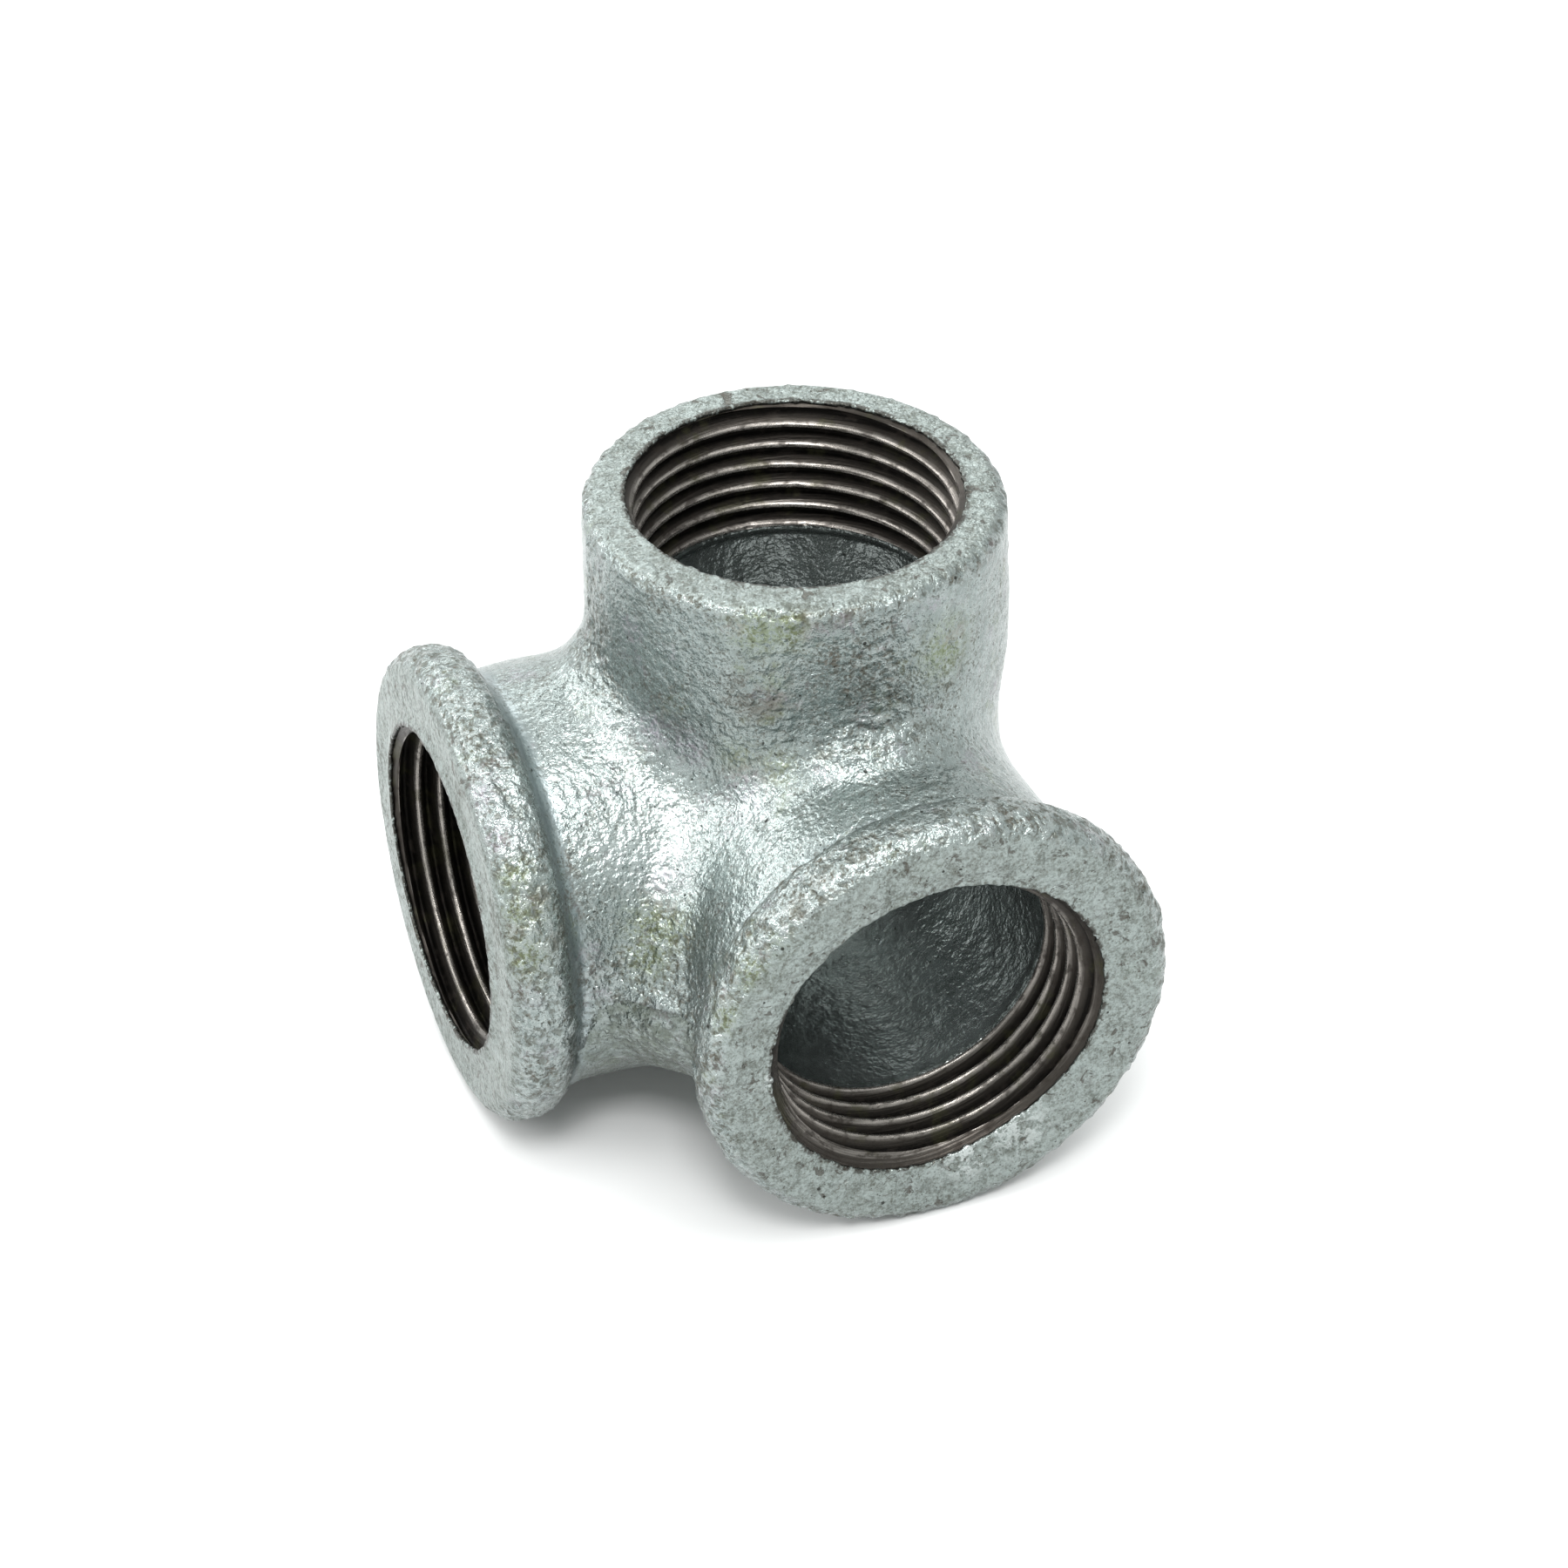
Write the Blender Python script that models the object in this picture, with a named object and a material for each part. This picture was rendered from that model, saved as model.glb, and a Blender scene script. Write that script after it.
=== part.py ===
"""Side-outlet elbow, 1 inch: a three-way corner pipe fitting in galvanised malleable iron.

Three female-threaded ports stand at right angles to each other on one hollow casting. The top
port is a plain barrel. The left and the front port end in a raised bead. Each port's thread is
cut through the zinc into bare iron, and that bare band is a node of its own, so the fitting has
a zinc slot and an iron slot.

Frame: +Z is up and the top port opens along it, the left port opens along -X and the front port
along -Y. The origin is on the floor, under the middle of the bounding box.
"""

import math

import bmesh
import bpy
import numpy as np

# Driving dimensions, in metres
PORT_REACH = 0.038          # from the crossing of the port axes to each port's face
BARREL_R = 0.0206           # outside of the three barrels
BEAD_R = 0.0241             # outside of the left and front beads
BEAD_WIDTH = 0.0071         # along the port axis, up to the face
BEAD_FILLET = 0.0014        # hollow groove between neck and bead
BEAD_BACK_ROUND = 0.0021    # bead's edge towards the neck
BEAD_FACE_ROUND = 0.0028    # bead's edge towards the face
RIM_ROUND = 0.0012          # edge of the plain top rim
CHAMBER_R = 0.0164          # cast bores behind the threads

# The fillets between the barrels: (width, amount) above the lower ports' axes and below them
SHELL_BLEND = ((0.0023, 0.0070), (0.0036, 0.0170))
CHAMBER_BLEND = ((0.0015, 0.0030), (0.0015, 0.0030))
BLEND_CHANGE = 0.0030       # height over which the upper blend turns into the lower one
SPREAD_START = 0.05         # spread of the surface directions at which a blend sets in

# 1 inch pipe thread: 11 threads per inch
THREAD_PITCH = 0.0254 / 11
THREAD_MAJOR_R = 0.03325 / 2
THREAD_MINOR_R = 0.03029 / 2
THREAD_DEPTH = {"top": 0.0140, "left": 0.0130, "front": 0.0110}     # below each port's face
MOUTH_R = {"top": 0.01685, "left": 0.01695, "front": 0.01730}       # wide end of each countersink
COUNTERSINK = 0.0010        # its depth
BAND_R = 0.01755            # outside of an iron band
BAND_RECESS = 0.0002        # band's end below the port's face
GAP = 0.0003                # between a band and the casting
SHORTEST_STEP = 0.00023     # a ridge or root nearer than this to a band's end gathers into it

# Resolution
EDGE_STEPS = 10             # quads along one edge of the corner's cube cage
AROUND = 4 * EDGE_STEPS     # quads around each port
ARC_STEPS = 3               # quads along each rounded edge of a profile
SHELL_RINGS = 4             # rings between the corner and a port's straight barrel
CHAMBER_RINGS = 3
RELAX_STEPS = 80
WELD = 1e-6                 # vertices closer than this are one
SHARP_DEG = 35              # edges bent more than this are drawn sharp

# Where the outer and the inner blends have died out, along a port
SHELL_BLEND_END = PORT_REACH - BEAD_WIDTH - BEAD_FILLET
CHAMBER_BLEND_END = 0.0210

# The bounding box runs from the port faces to the far side of the beads, and down to the beads
AXES_CROSSING = ((PORT_REACH - BEAD_R) / 2, (PORT_REACH - BEAD_R) / 2, BEAD_R)

# Each port: the direction that it opens in, and two directions across it, with across_1 x across_2 = out
PORTS = {
    "top": {"out": (0, 0, 1), "across_1": (1, 0, 0), "across_2": (0, 1, 0), "bead": False},
    "left": {"out": (-1, 0, 0), "across_1": (0, 0, 1), "across_2": (0, 1, 0), "bead": True},
    "front": {"out": (0, -1, 0), "across_1": (1, 0, 0), "across_2": (0, 0, 1), "bead": True},
}


# ---------------------------------------------------------------- shape of the corner

def blended_barrels(points, radius, blend):
    """Signed distance, roughly, to three round-ended barrels that flow into each other.

    The blend adds metal where the barrels' surfaces face different ways, in the crotches, and
    adds none along the sides, where they run level with each other."""
    (upper_width, upper_amount), (lower_width, lower_amount) = blend
    low = 1 / (1 + np.exp(np.clip(points[:, 2] / BLEND_CHANGE, -50, 50)))
    width = upper_width + (lower_width - upper_width) * low
    amount = upper_amount + (lower_amount - upper_amount) * low
    distances, normals = [], []
    for port in PORTS.values():
        along = points @ np.array(port["out"], float)
        radial = points - np.maximum(along, 0)[:, None] * np.array(port["out"], float)
        length = np.maximum(np.linalg.norm(radial, axis=1), 1e-9)
        distances.append(length - radius)
        normals.append(radial / length[:, None])
    distances = np.array(distances)
    nearest = distances.min(axis=0)
    share = np.exp((nearest - distances) / width)
    share /= share.sum(axis=0)
    spread = 1 - np.linalg.norm(sum(s[:, None] * n for s, n in zip(share, normals)), axis=1)
    softness = 1 - np.exp(-spread / SPREAD_START)
    return nearest + ((share * distances).sum(axis=0) - nearest) * softness - amount * spread


def onto_surface(points, radius, blend):
    """The points moved along the gradient to where blended_barrels is zero."""
    step = 1e-6
    for _ in range(4):
        value = blended_barrels(points, radius, blend)
        gradient = np.empty_like(points)
        for axis in range(3):
            shift = np.zeros(3)
            shift[axis] = step
            ahead = blended_barrels(points + shift, radius, blend)
            behind = blended_barrels(points - shift, radius, blend)
            gradient[:, axis] = (ahead - behind) / (2 * step)
        size = np.maximum((gradient ** 2).sum(axis=1), 0.1)
        points = points - (value / size)[:, None] * gradient
    return points


# ---------------------------------------------------------------- cage of the corner

class Skin:
    """Vertices and quads of one skin, outer or inner, before they go into a mesh."""

    def __init__(self):
        self.points = []
        self.quads = []
        self.lattice = {}

    def add(self, point):
        self.points.append(np.array(point, float))
        return len(self.points) - 1

    def at(self, cell, radius):
        """The vertex of a cell on the cube cage, made the first time it is asked for."""
        if cell not in self.lattice:
            flat = np.array(cell) / EDGE_STEPS * 2 - 1
            bulged = np.tan(flat * math.pi / 4)
            self.lattice[cell] = self.add(bulged / np.linalg.norm(bulged) * radius)
        return self.lattice[cell]


def closed_sides(skin, radius):
    """The cube cage's three sides without a port: back (+Y), right (+X) and underside (-Z)."""
    n = EDGE_STEPS
    sides = (
        lambda a, b: (n, a, b),
        lambda a, b: (b, n, a),
        lambda a, b: (b, a, 0),
    )
    for cell in sides:
        for a in range(n):
            for b in range(n):
                corners = (cell(a, b), cell(a + 1, b), cell(a + 1, b + 1), cell(a, b + 1))
                skin.quads.append([skin.at(c, radius) for c in corners])


def port_loop(port, skin, radius):
    """The cage's vertices around one port, anticlockwise seen from outside, from across_1."""
    n = EDGE_STEPS
    half = n // 2
    square = [(n, half + s) for s in range(half)]
    square += [(n - s, n) for s in range(n)]
    square += [(0, n - s) for s in range(n)]
    square += [(s, 0) for s in range(n)]
    square += [(n, s) for s in range(half)]
    loop = []
    for a, b in square:
        cell = [0, 0, 0]
        for axis in range(3):
            if port["out"][axis]:
                cell[axis] = n if port["out"][axis] > 0 else 0
            elif port["across_1"][axis]:
                cell[axis] = a
            else:
                cell[axis] = b
        loop.append(skin.at(tuple(cell), radius))
    return loop


def around_port(port, along, radius):
    """Points of a circle around a port's axis."""
    out, across_1, across_2 = (np.array(port[k], float) for k in ("out", "across_1", "across_2"))
    turns = np.arange(AROUND) * 2 * math.pi / AROUND
    return [out * along + (across_1 * math.cos(t) + across_2 * math.sin(t)) * radius for t in turns]


def bridge(quads, ring, next_ring):
    """Quads between two rings, facing away from the port's axis when next_ring is further out."""
    count = len(ring)
    for m in range(count):
        k = (m + 1) % count
        quads.append([ring[m], ring[k], next_ring[k], next_ring[m]])


def relaxed(skin, free, last_blended, radius, blend):
    """The skin's points, with the free ones spread evenly over the blended surface, and the last
    blended rings moved out onto it."""
    edges = {tuple(sorted((q[i], q[(i + 1) % 4]))) for q in skin.quads for i in range(4)}
    edges = np.array(sorted(edges))
    points = np.array(skin.points)
    near = np.bincount(edges.ravel(), minlength=len(points))[:, None]
    free = np.array(sorted(free))
    points[last_blended] = onto_surface(points[last_blended], radius, blend)
    for _ in range(RELAX_STEPS):
        total = np.zeros_like(points)
        np.add.at(total, edges[:, 0], points[edges[:, 1]])
        np.add.at(total, edges[:, 1], points[edges[:, 0]])
        mean = total / near
        points[free] = onto_surface((points[free] + mean[free]) / 2, radius, blend)
    return points


def cast_skin(radius, blend, blend_end, rings, profiles):
    """One skin of the casting, its points and quads, and the last ring of each port.

    A port's profile is a list of (along, radius) from the straight barrel to the port's face."""
    skin = Skin()
    closed_sides(skin, radius)
    loops = {name: port_loop(port, skin, radius) for name, port in PORTS.items()}
    free = set(range(len(skin.points)))
    last_blended, last_rings = [], {}
    for name, port in PORTS.items():
        first_circle = around_port(port, blend_end, radius)
        ring = loops[name]
        for level in range(1, rings):
            share = level / rings
            start = [skin.points[v] * (1 - share) + end * share
                     for v, end in zip(loops[name], first_circle)]
            next_ring = [skin.add(p) for p in start]
            free.update(next_ring)
            bridge(skin.quads, ring, next_ring)
            ring = next_ring
        for along, ring_radius in [(blend_end, radius)] + profiles[name]:
            next_ring = [skin.add(p) for p in around_port(port, along, ring_radius)]
            bridge(skin.quads, ring, next_ring)
            ring = next_ring
            if along == blend_end:
                last_blended += ring
        last_rings[name] = ring
    return relaxed(skin, free, last_blended, radius, blend), skin.quads, last_rings


# ---------------------------------------------------------------- profiles along a port

def arc(centre, radius, start_deg, end_deg):
    """Points of an arc in (along, radius), without its first point."""
    found = []
    for step in range(1, ARC_STEPS + 1):
        angle = math.radians(start_deg + (end_deg - start_deg) * step / ARC_STEPS)
        found.append((centre[0] + radius * math.cos(angle), centre[1] + radius * math.sin(angle)))
    return found


def plain_rim():
    """The top barrel's outside, from the blend to its rounded rim."""
    start = PORT_REACH - RIM_ROUND
    return [(start, BARREL_R)] + arc((start, BARREL_R - RIM_ROUND), RIM_ROUND, 90, 0)


def beaded_rim():
    """Groove, bead and rounded face edge of the left and front ports."""
    back = PORT_REACH - BEAD_WIDTH
    groove_end = BARREL_R + BEAD_FILLET
    crest_start = back + BEAD_BACK_ROUND
    crest_end = PORT_REACH - BEAD_FACE_ROUND
    points = arc((SHELL_BLEND_END, groove_end), BEAD_FILLET, -90, 0)
    points += arc((crest_start, BEAD_R - BEAD_BACK_ROUND), BEAD_BACK_ROUND, 180, 90)
    points.append((crest_end, BEAD_R))
    points += arc((crest_end, BEAD_R - BEAD_FACE_ROUND), BEAD_FACE_ROUND, 90, 0)
    return points


def seat_bore(depth):
    """The inside of a port: cast bore, shoulder, and the seat that the iron band fills."""
    shoulder = PORT_REACH - depth - GAP
    seat_r = BAND_R + GAP
    return [(shoulder, CHAMBER_R), (shoulder, seat_r), (PORT_REACH, seat_r)]


# ---------------------------------------------------------------- threads

def thread_radius(along, turn):
    """Radius of the thread's surface, a 55 degree zigzag between the major and minor radius."""
    phase = ((PORT_REACH - along) / THREAD_PITCH + turn) % 1.0
    zigzag = abs(phase - 0.5) * 2
    return THREAD_MINOR_R + (THREAD_MAJOR_R - THREAD_MINOR_R) * zigzag


def thread_band(port, depth, mouth_radius):
    """Points and quads of one port's iron band, with its helical thread and countersink.

    Ridge and root each run up the helix as one line of vertices. Both are held between the
    band's inner end and the countersink, where they gather into flat rings."""
    low = PORT_REACH - depth
    high = PORT_REACH - BAND_RECESS - COUNTERSINK
    half_pitch = THREAD_PITCH / 2
    first = math.floor((PORT_REACH - low) / half_pitch) + 3
    levels = first + 3
    out, across_1, across_2 = (np.array(port[k], float) for k in ("out", "across_1", "across_2"))
    points, quads = [], []

    def ring(along, radii):
        start = len(points)
        for m in range(AROUND):
            angle = 2 * math.pi * m / AROUND
            spoke = across_1 * math.cos(angle) + across_2 * math.sin(angle)
            points.append(out * along[m] + spoke * radii[m])
        return list(range(start, start + AROUND))

    turns = [m / AROUND for m in range(AROUND)]
    helix = []
    for level in range(levels):
        along = []
        for turn in turns:
            place = PORT_REACH - (first - level) * half_pitch + turn * THREAD_PITCH
            if place < low + SHORTEST_STEP:
                place = low
            if place > high - SHORTEST_STEP:
                place = high
            along.append(place)
        radii = [thread_radius(a, t) for a, t in zip(along, turns)]
        helix.append(ring(along, radii))
    for level in range(levels - 1):
        for m in range(AROUND):
            k = (m + 1) % AROUND
            rise = 2 if k == 0 else 0
            below = min(level + rise, levels - 1)
            above = min(level + 1 + rise, levels - 1)
            corners = [helix[level][m], helix[level + 1][m], helix[above][k], helix[below][k]]
            quads.append(list(dict.fromkeys(corners)))
    face = PORT_REACH - BAND_RECESS
    mouth = ring([face] * AROUND, [mouth_radius] * AROUND)
    outer_high = ring([face] * AROUND, [BAND_R] * AROUND)
    outer_low = ring([low] * AROUND, [BAND_R] * AROUND)
    bridge(quads, mouth, helix[-1])
    bridge(quads, outer_high, mouth)
    bridge(quads, outer_low, outer_high)
    bridge(quads, helix[0], outer_low)
    return points, quads


# ---------------------------------------------------------------- objects

def clear_scene():
    for obj in list(bpy.context.scene.objects):
        bpy.data.objects.remove(obj, do_unlink=True)


def make_material(name, colour, metallic, roughness):
    material = bpy.data.materials.new(name)
    material.use_nodes = True
    shader = material.node_tree.nodes["Principled BSDF"]
    shader.inputs["Base Color"].default_value = (*colour, 1)
    shader.inputs["Metallic"].default_value = metallic
    shader.inputs["Roughness"].default_value = roughness
    return material


def make_object(name, points, quads, material, parent):
    """A named object from points and quads, with vertices in one place made one."""
    bm = bmesh.new()
    verts = [bm.verts.new(p) for p in points]
    for quad in quads:
        bm.faces.new([verts[v] for v in quad])
    bmesh.ops.remove_doubles(bm, verts=bm.verts, dist=WELD)
    bmesh.ops.triangulate(bm, faces=[f for f in bm.faces if len(f.verts) > 3], quad_method="SHORT_EDGE")
    mesh = bpy.data.meshes.new(name)
    bm.to_mesh(mesh)
    bm.free()
    mesh.materials.append(material)
    mesh.shade_smooth()
    mesh.set_sharp_from_angle(angle=math.radians(SHARP_DEG))
    obj = bpy.data.objects.new(name, mesh)
    bpy.context.scene.collection.objects.link(obj)
    obj.parent = parent
    return obj


def make_casting(material, parent):
    """The one iron casting: outer skin, chamber skin, and the flat faces that join them."""
    outside = {name: beaded_rim() if port["bead"] else plain_rim() for name, port in PORTS.items()}
    inside = {name: seat_bore(THREAD_DEPTH[name]) for name in PORTS}
    points, quads, rims = cast_skin(BARREL_R, SHELL_BLEND, SHELL_BLEND_END, SHELL_RINGS, outside)
    inner_points, inner_quads, mouths = cast_skin(
        CHAMBER_R, CHAMBER_BLEND, CHAMBER_BLEND_END, CHAMBER_RINGS, inside)
    offset = len(points)
    quads = quads + [[v + offset for v in reversed(quad)] for quad in inner_quads]
    for name in PORTS:
        bridge(quads, rims[name], [v + offset for v in mouths[name]])
    return make_object("casting", np.concatenate([points, inner_points]), quads, material, parent)


def make_band(name, material, parent):
    points, quads = thread_band(PORTS[name], THREAD_DEPTH[name], MOUTH_R[name])
    return make_object(name + "_thread", points, quads, material, parent)


def main():
    clear_scene()
    crossing = bpy.data.objects.new("port_axes_crossing", None)
    crossing.location = AXES_CROSSING
    bpy.context.scene.collection.objects.link(crossing)
    zinc = make_material("galvanised_zinc", (0.52, 0.56, 0.56), 0.8, 0.42)
    iron = make_material("bare_cut_iron", (0.10, 0.085, 0.075), 0.9, 0.35)
    make_casting(zinc, crossing)
    for name in PORTS:
        make_band(name, iron, crossing)


main()
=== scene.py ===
"""Looks of the galvanised 1 inch side-outlet elbow: a finely cast zinc skin and three cut iron threads.

Row frame, in metres: +Z up, top port along +Z, left port along -X, front port along -Y.
"""

import math

import bmesh
import bpy
import numpy as np
from mathutils import Matrix, Vector


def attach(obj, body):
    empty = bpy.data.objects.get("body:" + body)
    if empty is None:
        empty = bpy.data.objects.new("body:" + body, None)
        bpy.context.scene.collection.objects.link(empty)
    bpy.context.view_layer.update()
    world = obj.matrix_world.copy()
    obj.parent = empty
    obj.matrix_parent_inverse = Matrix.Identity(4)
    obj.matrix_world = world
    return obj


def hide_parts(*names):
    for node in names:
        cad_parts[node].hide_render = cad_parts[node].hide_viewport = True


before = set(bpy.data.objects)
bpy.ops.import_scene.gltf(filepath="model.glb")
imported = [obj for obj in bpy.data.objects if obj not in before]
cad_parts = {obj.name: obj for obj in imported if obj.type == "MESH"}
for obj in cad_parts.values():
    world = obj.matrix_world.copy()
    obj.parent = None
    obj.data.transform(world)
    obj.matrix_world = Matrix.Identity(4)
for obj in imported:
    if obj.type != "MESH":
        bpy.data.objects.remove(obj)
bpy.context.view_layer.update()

mm = 1e-3                    # a millimetre, in metres

# ---- dimensions of the fitting, metres

PORT_REACH = 0.038           # from the crossing of the axes to each port's face
BARREL_R = 0.0206
BEAD_R = 0.0241
BEAD_HALF_WIDTH = 0.0033
BEAD_HALF_HEIGHT = 0.0070    # of the bead's outline, most of it buried in the neck
BEAD_ROUND = 0.0026
BEAD_FLOW = 0.0020           # how softly the bead grows out of its neck
RIM_ROUND = 0.0016
CHAMBER_R = 0.0164
SHELL_BLEND = ((0.0023, 0.0070), (0.0036, 0.0170))      # width and amount, above and below the axes
CHAMBER_BLEND = ((0.0015, 0.0030), (0.0015, 0.0030))
BLEND_CHANGE = 0.0030        # height over which one blend turns into the other
SPREAD_START = 0.05          # how far the barrels' normals part before the blend is in full
OUTER_END, INNER_END = 0.0285, 0.0205     # where the corner's mesh gives way to each port's rings
OUTER_RINGS, INNER_RINGS = 8, 6
BEAD_START = 0.0240          # nothing of a bead lies nearer the crossing
DRIPS = 60                   # on the front of the upright barrel
DRIPS_ROW = 5
THREAD_PITCH = 0.0254 / 11
THREAD_MAJOR_R = 0.03325 / 2
THREAD_MINOR_R = 0.03029 / 2
THREAD_DEPTH = {"top": 0.0140, "left": 0.0130, "front": 0.0110}
MOUTH_R = {"top": 0.0165, "left": 0.0165, "front": 0.01735}
LEFT_OVER = {                # zinc left hanging over a thread: its size, turn and share of a turn
    "top": ((0.00015, 0.6, 0.10),), "left": ((0.00020, 0.3, 0.10),),
    "front": ((0.00055, 0.27, 0.15), (0.00105, 0.83, 0.085))}
SLUMP = {"top": (-0.12, 0.0, 0.0), "left": (0.25, -0.15, -0.15), "front": (0.50, -0.20, -0.42)}   # mm
BULGE = ((19, -7.5, 25), 10.0, 0.45)       # centre, reach and height in mm
NUBS = (                     # flash on the beads' inner edges: centre, size and height in mm
    ((-31.9, -23.3, -1.0), 0.75, 0.45), ((-24.0, -34.3, -1.0), 0.60, 0.28),
    ((-31.2, 23.0, -1.6), 0.8, 0.25), ((23.0, -31.2, -1.6), 0.8, 0.25))
SEAT_R = 0.01785             # hidden recess that the thread band sits in
INNER_LIP_R = {"top": 0.0155, "left": 0.0158, "front": 0.0161}     # zinc edge below each thread
LIP = 0.00025                # thickness of the zinc lip that hangs over the band's ends
LIP_CHAMFER = 0.00008
LIP_SLOPE = 0.00004          # the lip's back leans in by this much
FLOOR_GAP, LIP_GAP = 0.00004, 0.00009      # between a thread band's ends and its seat

CROSSING = np.array(((PORT_REACH - BEAD_R) / 2, (PORT_REACH - BEAD_R) / 2, BEAD_R))


def port_frame(out, across_1, across_2, bead):
    """A port's axis pointing outwards, the two axes its turn is counted between, and its kind."""
    return {"out": np.array(out, float), "across_1": np.array(across_1, float),
            "across_2": np.array(across_2, float), "bead": bead}


PORTS = {
    "top": port_frame((0, 0, 1), (1, 0, 0), (0, 1, 0), bead=False),
    "left": port_frame((-1, 0, 0), (0, 0, 1), (0, 1, 0), bead=True),
    "front": port_frame((0, -1, 0), (1, 0, 0), (0, 0, 1), bead=True),
}

# Resolution
CAGE_STEPS = 12              # quads along an edge of the coarse corner cage
FINER = 3    # times that the cage's quads are split in four
AROUND = 4 * CAGE_STEPS * 2 ** FINER
SPACING = 0.00031     # along a port
RELAX_STEPS = 60


# ---- noise

def hashed(ix, iy, iz, seed):
    """A repeatable number from 0 to 1 for each whole-number cell."""
    h = (ix * 374761393 + iy * 668265263 + iz * 2147483647 + seed * 1274126177) & 0xFFFFFFFF
    h = ((h ^ (h >> 13)) * 1103515245 + 12345) & 0xFFFFFFFF
    h = ((h ^ (h >> 16)) * 69069 + 1) & 0xFFFFFFFF
    h = (h ^ (h >> 15)) & 0xFFFFFFFF
    return h.astype(np.float64) / 0xFFFFFFFF


def noise(points, size, seed):
    """Gradient noise, about -1 to 1, with features of that size in metres."""
    p = points / size
    cell = np.floor(p).astype(np.int64)
    f = p - cell
    fade = f * f * f * (f * (f * 6 - 15) + 10)
    total = np.zeros(len(points))
    for dx in (0, 1):
        for dy in (0, 1):
            for dz in (0, 1):
                ix, iy, iz = cell[:, 0] + dx, cell[:, 1] + dy, cell[:, 2] + dz
                gx = hashed(ix, iy, iz, seed) * 2 - 1
                gy = hashed(ix, iy, iz, seed + 101) * 2 - 1
                gz = hashed(ix, iy, iz, seed + 202) * 2 - 1
                dot = gx * (f[:, 0] - dx) + gy * (f[:, 1] - dy) + gz * (f[:, 2] - dz)
                weight = ((fade[:, 0] if dx else 1 - fade[:, 0])
                          * (fade[:, 1] if dy else 1 - fade[:, 1])
                          * (fade[:, 2] if dz else 1 - fade[:, 2]))
                total += weight * dot
    return total * 1.6


def layered(points, size, seed, layers=3, keep=0.5):
    """Several octaves of noise."""
    total, strength, norm = 0, 1.0, 0.0
    for layer in range(layers):
        total = total + strength * noise(points, size / 2 ** layer, seed + layer * 17)
        norm += strength
        strength *= keep
    return total / norm


def cells(points, size, seed):
    """Distance to the nearest scattered point, in cell sizes."""
    p = points / size
    cell = np.floor(p).astype(np.int64)
    nearest = np.full(len(points), 9.0)
    for dx in (-1, 0, 1):
        for dy in (-1, 0, 1):
            for dz in (-1, 0, 1):
                ix, iy, iz = cell[:, 0] + dx, cell[:, 1] + dy, cell[:, 2] + dz
                px = ix + hashed(ix, iy, iz, seed)
                py = iy + hashed(ix, iy, iz, seed + 11)
                pz = iz + hashed(ix, iy, iz, seed + 22)
                d = np.sqrt((p[:, 0] - px) ** 2 + (p[:, 1] - py) ** 2 + (p[:, 2] - pz) ** 2)
                nearest = np.minimum(nearest, d)
    return nearest


def smooth(low, high, x):
    """0 up to low, 1 from high on, and an S between."""
    t = np.clip((x - low) / (high - low), 0, 1)
    return t * t * (3 - 2 * t)


# ---- shape of the corner

def reach_out(points):
    """How far out along its nearest port's axis each point lies."""
    return np.max([points @ port["out"] for port in PORTS.values()], axis=0)


def blended_barrels(points, radius, blend):
    """Signed distance, roughly, to three round-ended barrels that flow into each other."""
    (upper_width, upper_amount), (lower_width, lower_amount) = blend
    low = 1 / (1 + np.exp(np.clip(points[:, 2] / BLEND_CHANGE, -50, 50)))
    width = upper_width + (lower_width - upper_width) * low
    amount = upper_amount + (lower_amount - upper_amount) * low
    distances, normals = [], []
    for port in PORTS.values():
        along = points @ port["out"]
        radial = points - np.maximum(along, 0)[:, None] * port["out"]
        length = np.maximum(np.linalg.norm(radial, axis=1), 1e-9)
        distances.append(length - radius)
        normals.append(radial / length[:, None])
    distances = np.array(distances)
    nearest = distances.min(axis=0)
    share = np.exp((nearest - distances) / width)
    share /= share.sum(axis=0)
    spread = 1 - np.linalg.norm(sum(s[:, None] * n for s, n in zip(share, normals)), axis=1)
    softness = 1 - np.exp(-spread / SPREAD_START)
    return nearest + ((share * distances).sum(axis=0) - nearest) * softness - amount * spread


def onto_surface(points, value_of, rounds=4):
    """The points moved to where value_of is 0."""
    step = 1e-6
    for _ in range(rounds):
        gradient = np.empty_like(points)
        for axis in range(3):
            shift = np.zeros(3)
            shift[axis] = step
            gradient[:, axis] = (value_of(points + shift) - value_of(points - shift)) / (2 * step)
        size = np.maximum((gradient ** 2).sum(axis=1), 0.1)
        points = points - (value_of(points) / size)[:, None] * gradient
    return points


def outside_value(points):
    """Signed distance, roughly, to the blended barrels with their beads."""
    value = blended_barrels(points, BARREL_R, SHELL_BLEND)
    for port in PORTS.values():
        if port["bead"]:
            along, radius, _ = place_in_port(points, port)
            value = np.where(along > BEAD_START, joined(bead_value(along, radius), value, along), value)
    return value


# ---- corner cage, coarse then fine

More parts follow.
